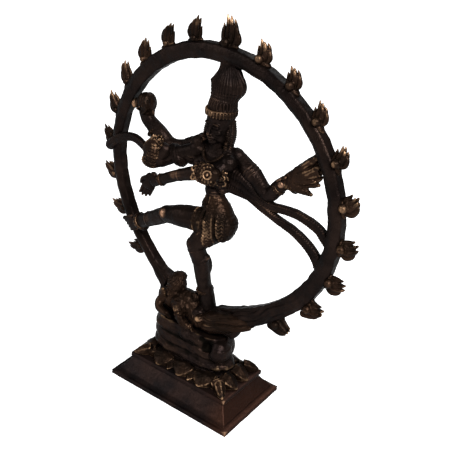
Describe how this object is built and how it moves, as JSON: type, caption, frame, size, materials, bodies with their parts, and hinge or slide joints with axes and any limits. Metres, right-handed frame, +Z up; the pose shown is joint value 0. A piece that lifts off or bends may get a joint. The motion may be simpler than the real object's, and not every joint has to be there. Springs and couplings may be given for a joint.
{
  "type": "brass nataraja statue",
  "caption": "Cast brass dancing figure inside a ring of flames, standing on a lying dwarf on an oval drum, lotus and stepped oblong plinth.",
  "frame": {"origin": "middle of the plinth's underside, where the statue rests; within about 1 mm of the middle of the whole statue's box", "axes": "+Z up; the figure faces -Y, turned six degrees with its arch towards -X at the front; +X towards the hand that holds the fire"},
  "size_m": [0.1994, 0.062, 0.25],
  "materials": {
    "dark_patina": "satin, near-black brown patina with bare brass on worn edges",
    "worn_brass": "satin, brown patina rubbed to warm brass on the high points, dark recesses",
    "base_patina": "satin, dark reddish brown with bright worn corners",
    "drum_patina": "satin, dark brown with olive recesses",
    "plain_brass": "machined, lightly tarnished"
  },
  "bodies": {
    "root": {"plinth": "base_patina", "lotus_plate": "base_patina", "lotus_core": "drum_patina", "lotus_petals": "worn_brass", "pedestal_drum": "drum_patina", "fixing_stud": "plain_brass", "fixing_washer": "plain_brass", "fixing_nut": "plain_brass", "arch_band": "dark_patina", "flame_01": "worn_brass", "flame_02": "worn_brass", "flame_03": "worn_brass", "flame_04": "worn_brass", "flame_05": "worn_brass", "flame_06": "worn_brass", "flame_07": "worn_brass", "flame_08": "worn_brass", "flame_09": "worn_brass", "flame_10": "worn_brass", "flame_11": "worn_brass", "flame_12": "worn_brass", "flame_13": "worn_brass", "flame_14": "worn_brass", "flame_15": "worn_brass", "flame_16": "worn_brass", "flame_17": "worn_brass", "flame_18": "worn_brass", "flame_19": "worn_brass", "dwarf_body": "worn_brass", "dwarf_head": "worn_brass", "dwarf_legs": "worn_brass", "dwarf_cobra": "worn_brass", "torso": "dark_patina", "hips_cloth": "worn_brass", "waist_belt": "worn_brass", "standing_leg": "dark_patina", "raised_leg": "dark_patina", "anklets": "worn_brass", "front_right_arm": "dark_patina", "front_left_arm": "dark_patina", "rear_right_arm": "dark_patina", "rear_left_arm": "dark_patina", "bracelets": "worn_brass", "cobra_armlet": "worn_brass", "flower_armlet": "worn_brass", "necklace": "worn_brass", "damaru": "worn_brass", "palm_fire": "worn_brass", "head": "dark_patina", "diadem": "worn_brass", "crown": "dark_patina", "crown_fan": "dark_patina", "ear_ornaments": "worn_brass", "hair_locks": "dark_patina", "sash_upper": "dark_patina", "sash_lower": "dark_patina", "sash_left": "dark_patina"}
  },
  "joints": []
}
